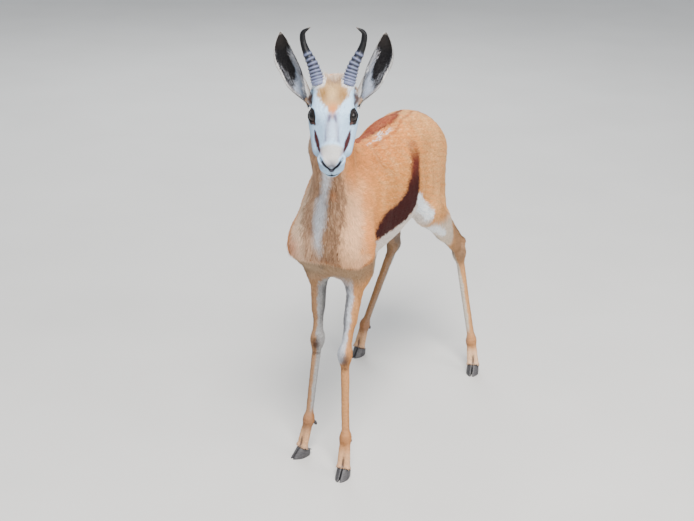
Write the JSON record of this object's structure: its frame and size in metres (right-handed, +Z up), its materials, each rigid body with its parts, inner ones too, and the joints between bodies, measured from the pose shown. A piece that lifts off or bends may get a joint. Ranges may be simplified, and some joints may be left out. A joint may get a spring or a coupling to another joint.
{
  "type": "springbok",
  "caption": "Life-size still model of a young springbok standing on its hooves, head up and turned a little to its left, ears open forwards, short ringed horns hooked inwards.",
  "frame": {"origin": "on the floor, below the middle of the animal's bounding box", "axes": "+X to the animal's left, -Y towards the muzzle, +Z up"},
  "size_m": [0.3096, 0.776, 0.9122],
  "materials": {
    "coat": "short fur, tan with a dark flank band and a white belly",
    "face": "short fur, white with a tan crown",
    "ear": "short fur, grey rims and a dark cup",
    "tail": "fur, white with a dark tuft",
    "horn": "dark ringed horn, smooth at the tips",
    "hoof": "dark horn of claws and dewclaws",
    "eye": "glossy dark brown"
  },
  "bodies": {
    "root": {"torso": "coat", "neck": "coat", "head": "face", "ear_left": "ear", "eye_left": "eye", "horn_left": "horn", "ear_right": "ear", "eye_right": "eye", "horn_right": "horn", "tail": "tail", "fore_left_upper": "coat", "fore_left_cannon": "coat", "fore_left_pastern": "coat", "fore_left_claw_outer": "hoof", "fore_left_claw_inner": "hoof", "fore_left_dewclaw_outer": "hoof", "fore_left_dewclaw_inner": "hoof", "fore_right_upper": "coat", "fore_right_cannon": "coat", "fore_right_pastern": "coat", "fore_right_claw_outer": "hoof", "fore_right_claw_inner": "hoof", "fore_right_dewclaw_outer": "hoof", "fore_right_dewclaw_inner": "hoof", "hind_left_upper": "coat", "hind_left_cannon": "coat", "hind_left_pastern": "coat", "hind_left_claw_outer": "hoof", "hind_left_claw_inner": "hoof", "hind_left_dewclaw_outer": "hoof", "hind_left_dewclaw_inner": "hoof", "hind_right_upper": "coat", "hind_right_cannon": "coat", "hind_right_pastern": "coat", "hind_right_claw_outer": "hoof", "hind_right_claw_inner": "hoof", "hind_right_dewclaw_outer": "hoof", "hind_right_dewclaw_inner": "hoof"}
  },
  "joints": []
}
